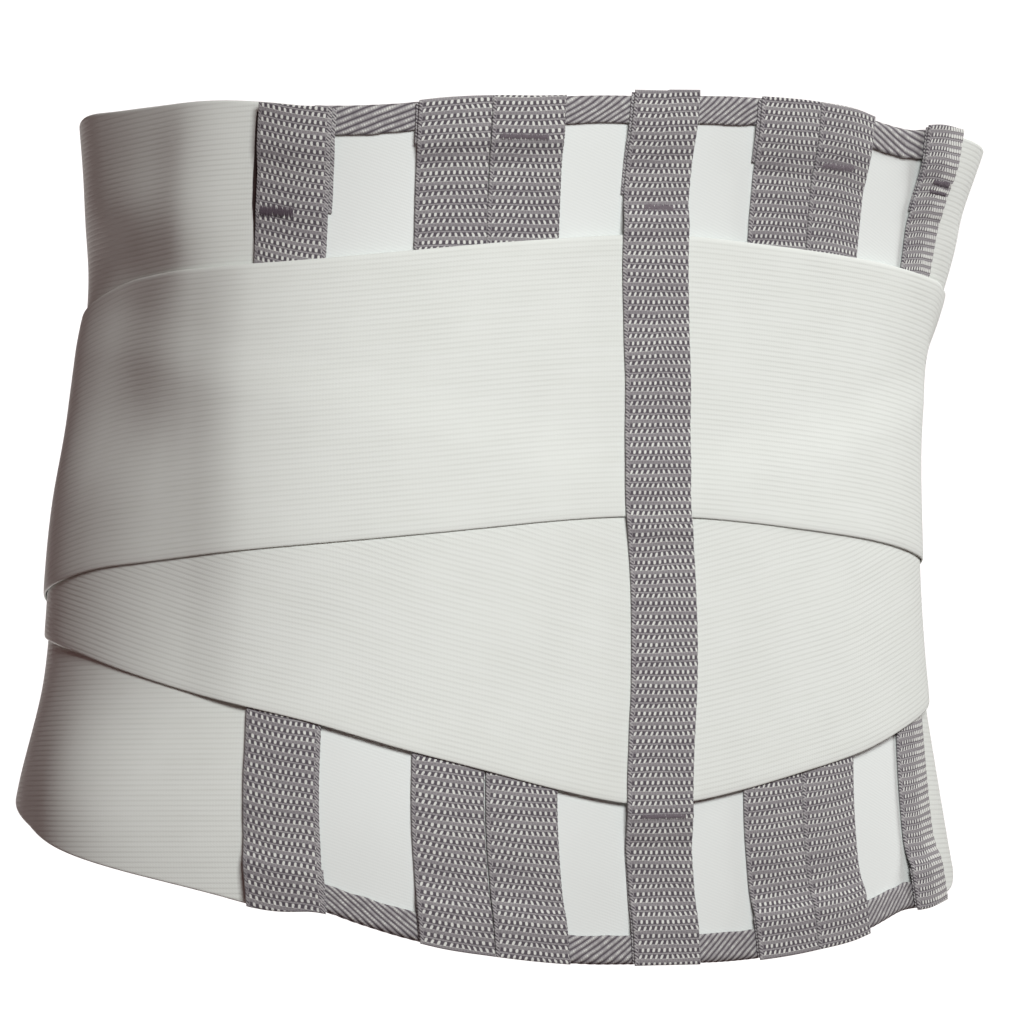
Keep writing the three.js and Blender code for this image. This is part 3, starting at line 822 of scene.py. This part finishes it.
def make_strap(label, side, kind, bottom, top, inner_lift):
    root, end = side * BUTT_GAP, side * STRAP_END
    across = spread(STRAP_END - BUTT_GAP, 2.0)
    rows = spread(STRAP_WIDTH, 1.7)
    station = np.repeat((min(root, end) + across)[:, None], len(rows), axis=1)
    height = fitted(rows, bottom(station[:, :1]), top(station[:, :1]))
    run = np.abs(station)
    loose = (uneven(7 + len(kind), 40)(station) + 1) * smooth_step(30, 90, run) * 0.06
    flare = (smooth_step(120, 260, run) * STRAP_FLARE + loose) * np.exp(-rows / FLARE_REACH)
    waves = uneven_field(11 + side, 26, 60)(station, height) * smooth_step(14, 30, run) * 0.12
    tuck = 0.3 * (np.exp(-rows / 1.6) + np.exp(-(rows[-1] - rows) / 1.6))
    middle = inner_lift(station, height) + STRAP_WALL / 2 + flare + waves - tuck
    inner, outer = thickened(middle, STRAP_WALL, fullness(across, 0.6), fullness(rows, 1))
    weave = np.stack([station, rows + 0 * station], axis=-1)
    shape = Shape()
    shape.add_wall(station, height, inner, outer, weave)
    piece = shape.build(f"strap_{kind}_{label}", elastic)
    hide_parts(f"{kind}_strap_{label}")


def make_straps():
    for label, side in (("left", -1), ("right", 1)):
        make_strap(label, side, "lower", lower_strap_bottom, lower_strap_top, lower_strap_inner)
        make_strap(label, side, "upper", upper_strap_bottom, upper_strap_top, upper_strap_inner)


# ---- Tapes ---------------------------------------------------------------------------------

TAPE_RIM_RADIUS = 0.65
TAPE_ROW_STEP = 0.85
TAPE_COLUMN_STEP = 1.15
LEDGE_START = 11.2
LEDGE_END = 25
FOLD_RAMP = 4.5
SCALLOP = WEAVE_REPEAT / 2


class Tape:
    """One casing of webbing: a cover the whole way, and a layer folded under it at each end."""

    def __init__(self, node, start, end, fold_low, fold_high, seed, sway, trim=0, peek=0):
        self.node, self.start, self.end, self.seed, self.peek = node, start, end, seed, peek
        self.sway = table_curve([(place * BELT_HEIGHT, shift) for place, shift in sway], 0, 1)
        self.middle = (start + end) / 2
        self.trim = trim
        self.cloth, self.tilt = webbing, 0
        self.fold_low, self.fold_high = fold_low, fold_high
        self.bottom, self.top = float(self.low_end(self.middle)), float(self.high_end(self.middle))

    def sway_at(self, height):
        """How far the tape wanders to the right at a height."""
        return self.sway(np.clip(height, 0, BELT_HEIGHT))

    def low_end(self, station):
        return bottom_edge(station) - TAPE_OVERHANG / 2

    def high_end(self, station):
        return top_edge(station) + TAPE_OVERHANG / 2 - self.trim

    def near_ends(self, station, height, start, end):
        """1 within start of either end of the tape, 0 past end."""
        low = 1 - smooth_step(start, end, height - self.low_end(station))
        high = 1 - smooth_step(start, end, self.high_end(station) - height)
        return np.clip(low + high, 0, 1)

    def base_lift(self, station, height):
        over_binding = self.near_ends(station, height, LEDGE_START, LEDGE_END)
        return blend(TAPE_INNER, OVER_BINDING, over_binding)

    def doubled(self, station, height):
        low = 1 - smooth_step(self.fold_low, self.fold_low + FOLD_RAMP, height - self.low_end(station))
        high = 1 - smooth_step(self.fold_high, self.fold_high + FOLD_RAMP, self.high_end(station) - height)
        return np.clip(low + high, 0, 1)

    def cover_lift(self, station, height):
        return self.base_lift(station, height) + TAPE_WALL / 2 + FOLD_WALL * 1.02 * self.doubled(station, height)

    def fold_lift(self, station, height):
        return self.base_lift(station, height) + FOLD_WALL / 2

    def face_lift(self, station, height):
        """The cover's outer face."""
        across = (station - self.start - self.sway_at(height)) / (self.end - self.start)
        crown = 1 - (2 * np.clip(across, 0, 1) - 1) ** 2
        return self.cover_lift(station, height) + TAPE_WALL / 2 + TAPE_BULGE * crown

    def add_layer(self, shape, start, end, seed, low, length, step, lift, wall, bulge):
        """A layer whose edges wobble and whose rows lean with the belt's edges at its ends."""
        rows = spread(length, step)
        across = spread(end - start, TAPE_COLUMN_STEP)
        level = low + rows[None, :]
        left = uneven(seed, 9)(level) * 0.09 + uneven(seed + 1, 34)(level) * 0.16
        right = uneven(seed + 2, 34)(level) * 0.14 + np.abs(np.sin(np.pi * level / SCALLOP)) * 0.2 - 0.1
        wander = self.sway_at(level) + blend(left, right, (across / across[-1])[:, None])
        station = start + across[:, None] + wander
        rise = np.clip((level - self.bottom) / (self.top - self.bottom), 0, 1)
        lean = blend(self.low_end(station) - self.bottom, self.high_end(station) - self.top, rise)
        height = level + lean
        crown = 1 - (2 * across / across[-1] - 1)[:, None] ** 2
        ripple = uneven_field(seed + 5, 7, 11)(station, height) * 0.06
        centre = lift(station, height) + (bulge + ripple) * crown
        inner, outer = thickened(centre, wall, fullness(across, TAPE_RIM_RADIUS), fullness(rows, TAPE_RIM_RADIUS))
        along = level + 3 * math.sin(seed) + self.tilt * across[:, None]
        shape.add_wall(station, height, inner, outer, np.stack([across[:, None] + 0 * height, along], axis=-1))

    def make(self):
        shape = Shape()
        wall = FOLD_WALL - 0.1
        start, end = self.start, self.end
        self.add_layer(
            shape, start, end, self.seed, self.bottom, self.top - self.bottom,
            TAPE_ROW_STEP, self.cover_lift, TAPE_WALL, TAPE_BULGE,
        )
        self.add_layer(
            shape, start + self.peek, end + self.peek, self.seed + 20, self.top - self.fold_high,
            self.fold_high - 0.7, 2.0, self.fold_lift, wall, 0,
        )
        self.add_layer(
            shape, start + self.peek * 0.3, end + self.peek * 0.3, self.seed + 30, self.bottom + 0.7,
            self.fold_low - 0.7, 2.0, self.fold_lift, wall, 0,
        )
        piece = shape.build(self.node.replace("tape", "casing"), self.cloth)
        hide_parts(self.node)
        length = self.top - self.bottom + self.fold_low + self.fold_high
        length * MM
        return piece


class SpineTape(Tape):
    """The casing over the straps, which climbs over both of them and comes down at its ends."""

    def __init__(self):
        self.strap_low, self.strap_top = float(lower_strap_bottom(0)), float(upper_strap_top(0))
        half = TAPE_WIDTH / 2
        fold_low, fold_high = self.strap_low - 10, BELT_HEIGHT - self.strap_top - 11
        super().__init__("spine_tape", 0.4 - half, half - 0.4, fold_low, fold_high, 71, SPINE_SWAY, -1.1, -0.7)
        self.meeting = float(upper_strap_bottom(half))
        self.hidden_top = float(lower_strap_top(half)) + 6

    def base_lift(self, station, height):
        over_lower = STRAP_OVER_TAPES + STRAP_WALL + LAYER_GAP
        over_upper = over_lower + STRAP_WALL + LAYER_GAP
        climbing = smooth_step(self.strap_low - 15, self.strap_low - 1.5, height)
        leaving = 1 - smooth_step(self.strap_top + 1.5, self.strap_top + 15, height)
        on_upper = smooth_step(self.meeting - 12, self.meeting - 3, height)
        past = smooth_step(self.hidden_top + STRAP_DRAPE_START, self.hidden_top + STRAP_DRAPE_END, height)
        on_straps = blend(over_lower, over_upper, on_upper * (1 - past))
        return blend(super().base_lift(station, height), on_straps, climbing * leaving)


def make_tapes():
    tapes = [SpineTape()]
    for number, row in enumerate(TAPES):
        start, end = row["start"] + BUTT_GAP, row["start"] + TAPE_WIDTH - BUTT_GAP + row["wider"]
        least = LEDGE_START + 3
        fold_low = max(row["fold_bottom"] * BELT_HEIGHT, least)
        fold_high = max(row["fold_top"] * BELT_HEIGHT, least)
        seed = 101 + 7 * number
        tapes.append(Tape(row["name"], start, end, fold_low, fold_high, seed, row["sway"], row["trim"], row["peek"]))
    by_name = {tape.node: tape for tape in tapes}
    by_name["outer_tape_left"].cloth, by_name["outer_tape_left"].tilt = webbing_plain, 0.13
    by_name["outer_tape_right"].cloth = webbing_floats
    for tape in tapes:
        tape.make()
    make_tacks(by_name)
    # The dark strips beside the two outer tapes are painted shadow, not sewn parts.
    make_seam_shadow("left", by_name["outer_tape_left"], 236, -1, 1.9)
    make_seam_shadow("right", by_name["outer_tape_right"], 24, 1, 0.5)


# ---- Sewing, and painted shadow beside the outer tapes -------------------------------------

# Close zigzag stitching across a tape: from and to are millimetres from the tape's left edge
TACKS = [
    dict(tape="outer_tape_left", start=2, end=14, height=252.5, tall=4, dark=True),
    dict(tape="inner_tape_left_b", start=3, end=19, height=275, tall=2.4, dark=False),
    dict(tape="inner_tape_right_b", start=3, end=17, height=271, tall=2.4, dark=False),
    dict(tape="outer_tape_right", start=8, end=21, height=270.5, tall=2, dark=True),
    dict(tape="outer_tape_right", start=8, end=21, height=267.3, tall=1.4, dark=True),
    dict(tape="spine_tape", start=7, end=18, height=253.5, tall=2.4, dark=False),
    dict(tape="spine_tape", start=5, end=21, height=49.5, tall=2, dark=False),
]
THREAD_RADIUS = 0.17
TACK_PITCH = 0.48
THREAD_SIDES = 6


def add_thread(shape, station, height, lift, radius):
    """A round thread through places on the belt."""
    path = body_points(station, height, lift)
    outward = body_points(station, height, lift + 1) - path
    tangent = np.gradient(path, axis=0)
    tangent /= np.linalg.norm(tangent, axis=1, keepdims=True)
    side = np.cross(tangent, outward)
    side /= np.linalg.norm(side, axis=1, keepdims=True)
    up = np.cross(side, tangent)
    turns = np.linspace(0, TURN, THREAD_SIDES, endpoint=False)
    ring = np.cos(turns)[None, :, None] * side[:, None] + np.sin(turns)[None, :, None] * up[:, None]
    steps = np.linalg.norm(np.diff(path, axis=0), axis=1)
    run = np.concatenate([[0], np.cumsum(steps)])
    weave = np.stack(np.broadcast_arrays(run[:, None], turns[None, :] * radius), axis=-1)
    shape.add_loft(path[:, None] + radius * ring, weave)


def make_seam_shadow(label, tape, low, side, width):
    """A dark strip of painted shadow beside an outer tape, standing for the shade in the gap between the tape and the
    elastic, widest at the belt's top.
    """
    rows = spread(tape.top - 1 - low, 1.5)
    height = (low + rows)[None, :]
    edge = (tape.start if side < 0 else tape.end) + tape.sway_at(height)
    reach = blend(0.4, width, smooth_step(236, 262, height)) + uneven(61, 5)(height) * 0.12
    share = np.linspace(0, 1, 4)[:, None]
    station = edge + side * blend(reach, -0.5, share) if side < 0 else edge + blend(-0.5, reach, share)
    middle = 0.35 + 0 * station
    height = height + 0 * station
    inner, outer = thickened(middle, 0.5, fullness(share[:, 0] * 2, 0.4), fullness(rows, 0.3))
    shape = Shape()
    shape.add_wall(station, height, inner, outer, np.stack([station, height], axis=-1))
    # This dark strip stands for shadow only; the belt has no such piece.
    piece = shape.build(f"seam_{label}", painted_seam_shadow)


def make_tacks(tapes):
    shapes = {True: Shape(), False: Shape()}
    for number, row in enumerate(TACKS):
        tape = tapes[row["tape"]]
        rng = np.random.default_rng(300 + number)
        count = round((row["end"] - row["start"]) / TACK_PITCH) * 2
        start = tape.start + tape.sway_at(row["height"]) + row["start"]
        station = start + np.linspace(0, row["end"] - row["start"], count) + rng.uniform(-0.12, 0.12, count)
        swing = np.where(np.arange(count) % 2 == 0, -0.5, 0.5) + rng.uniform(-0.14, 0.14, count)
        height = row["height"] + swing * row["tall"] + tape.tilt * (start - station)
        fine = np.linspace(0, count - 1, (count - 1) * 4 + 1)
        station = np.interp(fine, np.arange(count), station)
        height = np.interp(fine, np.arange(count), height)
        arch = np.abs(np.sin(np.pi * fine))
        lift = tape.face_lift(station, height) - 0.12 + 0.2 * arch
        add_thread(shapes[row["dark"]], station, height, lift, THREAD_RADIUS)
    for dark, name, thread in ((True, "bar_tacks_dark", dark_thread), (False, "bar_tacks_pale", grey_thread)):
        piece = shapes[dark].build(name, thread)


# ---- Bindings ------------------------------------------------------------------------------

# How the gathers lean along each binding: rise of a ridge for each millimetre of girth
TOP_LEAN = [
    dict(station=-120, lean=0.34),
    dict(station=-86, lean=0.3),
    dict(station=-36, lean=0.5),
    dict(station=-13, lean=0.62),
    dict(station=13, lean=0.75),
    dict(station=36, lean=0.6),
    dict(station=86, lean=-0.35),
    dict(station=120, lean=-0.2),
]
BOTTOM_LEAN = [
    dict(station=-120, lean=-0.5),
    dict(station=-86, lean=-0.6),
    dict(station=-36, lean=0.5),
    dict(station=-13, lean=0.7),
    dict(station=13, lean=0.8),
    dict(station=36, lean=0.7),
    dict(station=86, lean=0.6),
    dict(station=120, lean=0.7),
]


def binding_path():
    """Half of the binding's section: outer leg, turn and inner leg, as depth below the edge and lift."""
    near = LAYER_GAP + BINDING_WALL / 2
    far = -PANEL_WALL - LAYER_GAP - BINDING_WALL / 2
    radius = (near - far) / 2
    depth = radius + BINDING_WALL / 2
    leg = depth + (BINDING_HEIGHT - depth) * np.linspace(1, 0, 17)
    turn = np.linspace(0, np.pi, 11)[1:-1]
    inner_leg = depth + (BINDING_HEIGHT - depth) * np.linspace(0, 1, 5)
    depths = np.concatenate([leg, depth - radius * np.sin(turn), inner_leg])
    lifts = np.concatenate([leg * 0 + near, (near + far) / 2 + radius * np.cos(turn), inner_leg * 0 + far])
    return depths, lifts


def make_binding(name, node, edge, direction, lean_rows, seed):
    station = np.linspace(-BINDING_END, BINDING_END, 421)[:, None]
    depths, lifts = binding_path()
    tangent = np.stack([np.gradient(depths), np.gradient(lifts)], axis=-1)
    tangent /= np.linalg.norm(tangent, axis=1, keepdims=True)
    normal_depth, normal_lift = -tangent[:, 1], tangent[:, 0]
    sign = -1 if normal_lift[0] < 0 else 1
    normal_depth, normal_lift = normal_depth * sign, normal_lift * sign
    path = np.concatenate([[0], np.cumsum(np.hypot(np.diff(depths), np.diff(lifts)))])
    lean = table_curve(lean_rows, "station", "lean")(station)
    leaning = np.cumsum(lean, axis=0) * float(station[1, 0] - station[0, 0])
    phase = path[None, :] * 0.92 - leaning * direction + uneven(seed, 14)(station) * 0.5
    ridge = np.abs(np.sin(np.pi * phase / GATHER_PITCH)) ** 0.8
    strength = uneven_field(seed + 1, 9, 5)(station, path[None, :]) * 0.35 + 0.75
    outward = GATHER_DEPTH * ridge * strength
    hem = uneven(seed + 2, 5)(station) * 0.25 + uneven(seed + 3, 21)(station) * 0.3
    toward_hem = np.clip((depths - 4) / (BINDING_HEIGHT - 4), 0, 1)[None, :]
    round_hem = np.clip(np.minimum(path, path[-1] - path) / 0.6, 0, 1)[None, :] * 0.7 + 0.3
    half = BINDING_WALL / 2 * round_hem
    outer_depth = depths + normal_depth * (half + outward * 0.7) + hem * toward_hem
    outer_lift = lifts + normal_lift * (half - 0.1 + outward * 0.7)
    inner_depth = depths - normal_depth * half + hem * toward_hem
    inner_lift = lifts - normal_lift * half + 0 * station
    depth = np.concatenate([outer_depth, inner_depth[:, ::-1]], axis=1)
    lift = np.concatenate([outer_lift, inner_lift[:, ::-1]], axis=1)
    loops = body_points(station + 0 * depth, edge(station) - direction * depth, lift)
    along = station * np.hypot(1, lean) + path[None, :] * lean * direction
    weave = np.stack([along, phase], axis=-1)
    weave = np.concatenate([weave, weave[:, ::-1]], axis=1)
    shape = Shape()
    if direction < 0:
        loops, weave = loops[:, ::-1], weave[:, ::-1]
    shape.add_loft(loops, weave)
    piece = shape.build(name, gathers)
    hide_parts(node)


def make_bindings():
    make_binding("binding_top", "top_binding", top_edge, 1, TOP_LEAN, 211)
    make_binding("binding_bottom", "bottom_binding", bottom_edge, -1, BOTTOM_LEAN, 223)


# ---- Front closure -------------------------------------------------------------------------

TAB_INSET = 6
PATCH_REACH = 30
PATCH_INSET = 12


def make_closure_piece(name, node, start, end, low, high, middle_lift, wall):
    across = spread(end - start, 2.0)
    rows = spread(100, 2.0)
    station = np.repeat((start + across)[:, None], len(rows), axis=1)
    height = fitted(rows, low(station[:, :1]), high(station[:, :1]))
    inner, outer = thickened(middle_lift(station), wall, fullness(across, 0.6), fullness(rows, 0.6))
    shape = Shape()
    shape.add_wall(station, height, inner, outer, np.stack([station, height], axis=-1))
    piece = shape.build(name, hooks)
    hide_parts(node)
    float(np.max(high(station) - low(station))) * MM
    area_between(low, high, start, end)


def make_closure():
    def tab_lift(station):
        over = lower_strap_inner(STRAP_END) + 2 * (STRAP_WALL + LAYER_GAP)
        landed = smooth_step(STRAP_END + LAYER_GAP, STRAP_END + 12, np.abs(station))
        return blend(over, LAYER_GAP, landed) + STRAP_WALL / 2

    for label, side in (("left", -1), ("right", 1)):
        start, end = sorted((side * TAB_START, side * TAB_END))
        make_closure_piece(
            f"tab_{label}", f"strap_tab_{label}", start, end,
            lambda s: upper_strap_bottom(s) + TAB_INSET, lambda s: upper_strap_top(s) - TAB_INSET, tab_lift, STRAP_WALL,
        )
    make_closure_piece(
        "patch_front", "closure_patch", HALF_GIRTH - PATCH_REACH, HALF_GIRTH + PATCH_REACH,
        lambda s: bottom_edge(s) + PATCH_INSET, lambda s: top_edge(s) - PATCH_INSET,
        lambda s: LAYER_GAP + PATCH_WALL / 2 + 0 * s, PATCH_WALL,
    )


# ---- Camera, lights and floor --------------------------------------------------------------

CAMERA_AZIMUTH = -25.23
CAMERA_ELEVATION = -3.17
CAMERA_DISTANCE = 1.80574
CAMERA_ROLL = -0.37
CAMERA_AIM = (0.00673, 0.01277)
CAMERA_LENS = 177.78


def make_camera():
    azimuth, elevation, roll = (math.radians(a) for a in (CAMERA_AZIMUTH, CAMERA_ELEVATION, CAMERA_ROLL))
    level, sine = math.cos(elevation), math.sin(elevation)
    back = Vector((math.sin(azimuth) * level, -math.cos(azimuth) * level, sine))
    right = Vector((math.cos(azimuth), math.sin(azimuth), 0))
    up = back.cross(right)
    turned_right = right * math.cos(roll) + up * math.sin(roll)
    turned_up = up * math.cos(roll) - right * math.sin(roll)
    data = bpy.data.cameras.new("photo_camera")
    data.lens = CAMERA_LENS
    data.sensor_width = 36
    data.clip_end = 50
    camera = bpy.data.objects.new("photo_camera", data)
    aim = right * CAMERA_AIM[0] + Vector((0, 0, CAMERA_AIM[1]))
    axes = Matrix((turned_right, turned_up, back)).transposed().to_4x4()
    camera.matrix_world = Matrix.Translation(aim + back * CAMERA_DISTANCE) @ axes
    bpy.context.scene.collection.objects.link(camera)
    bpy.context.scene.camera = camera


def make_light(name, azimuth, elevation, distance, width, height, power, colour=(1, 1, 1)):
    """A soft panel of light turned to the belt's middle, its azimuth measured as the camera's is."""
    a, e = math.radians(azimuth), math.radians(elevation)
    back = Vector((math.sin(a) * math.cos(e), -math.cos(a) * math.cos(e), math.sin(e)))
    data = bpy.data.lights.new(name, "AREA")
    data.shape = "RECTANGLE"
    data.size, data.size_y = width, height
    data.energy = power
    data.color = colour
    light = bpy.data.objects.new(name, data)
    light.location = back * distance
    light.rotation_mode = "QUATERNION"
    light.rotation_quaternion = (-back).to_track_quat("-Z", "Y")
    light.visible_camera = False
    bpy.context.scene.collection.objects.link(light)


def make_lights():
    make_light("key", -11, 21, 1.6, 0.5, 0.5, 21.6, (1, 1, 1))
    make_light("right_fill", 82, 22, 0.9, 0.36, 0.36, 4.4, (1, 1, 1))
    make_light("left_rim", 180, -20, 2.6, 0.4, 0.9, 62, (1, 0.97, 0.96))
    world = bpy.data.worlds.new("studio")
    world.use_nodes = True
    world.node_tree.nodes["Background"].inputs["Color"].default_value = (1, 0.56, 0.54, 1)
    world.node_tree.nodes["Background"].inputs["Strength"].default_value = 0.095
    bpy.context.scene.world = world
    bpy.context.scene.view_settings.view_transform = "Standard"


def make_stage():
    """A pale floor that sweeps up into a round backdrop. Only the camera sees it."""
    floor_height, radius, sweep, rise = -0.42, 4.6, 1.2, 4.0
    angles = np.linspace(0, math.pi / 2, 13)
    ring = [(radius - sweep) * share for share in (0.25, 0.5, 0.75)]
    profile = [(r, floor_height) for r in ring]
    profile += [(radius - sweep + sweep * math.sin(a), floor_height + sweep * (1 - math.cos(a))) for a in angles]
    profile.append((radius, rise))
    turns = 96
    points = [(0, 0, floor_height)]
    for r, z in profile:
        points += [(r * math.cos(t), r * math.sin(t), z) for t in np.linspace(0, 2 * math.pi, turns, endpoint=False)]
    faces = [(0, 1 + k, 1 + (k + 1) % turns) for k in range(turns)]
    for ring_index in range(len(profile) - 1):
        base = 1 + ring_index * turns
        for k in range(turns):
            faces.append((base + k, base + turns + k, base + turns + (k + 1) % turns, base + (k + 1) % turns))
    mesh = bpy.data.meshes.new("floor")
    mesh.from_pydata(points, [], faces)
    mesh.shade_smooth()
    material = bpy.data.materials.new("floor_white")
    material.use_nodes = True
    shader = material.node_tree.nodes["Principled BSDF"]
    shader.inputs["Base Color"].default_value = (0.9, 0.9, 0.9, 1)
    shader.inputs["Roughness"].default_value = 0.9
    shader.inputs["Emission Color"].default_value = (1, 1, 1, 1)
    shader.inputs["Emission Strength"].default_value = 1.05
    mesh.materials.append(material)
    floor = bpy.data.objects.new("floor", mesh)
    floor.visible_diffuse = False
    floor.visible_glossy = False
    floor.visible_shadow = False
    bpy.context.scene.collection.objects.link(floor)


make_camera()
make_stage()
make_lights()
make_back_panel()
make_side_panels()
make_straps()
make_tapes()
make_bindings()
make_closure()
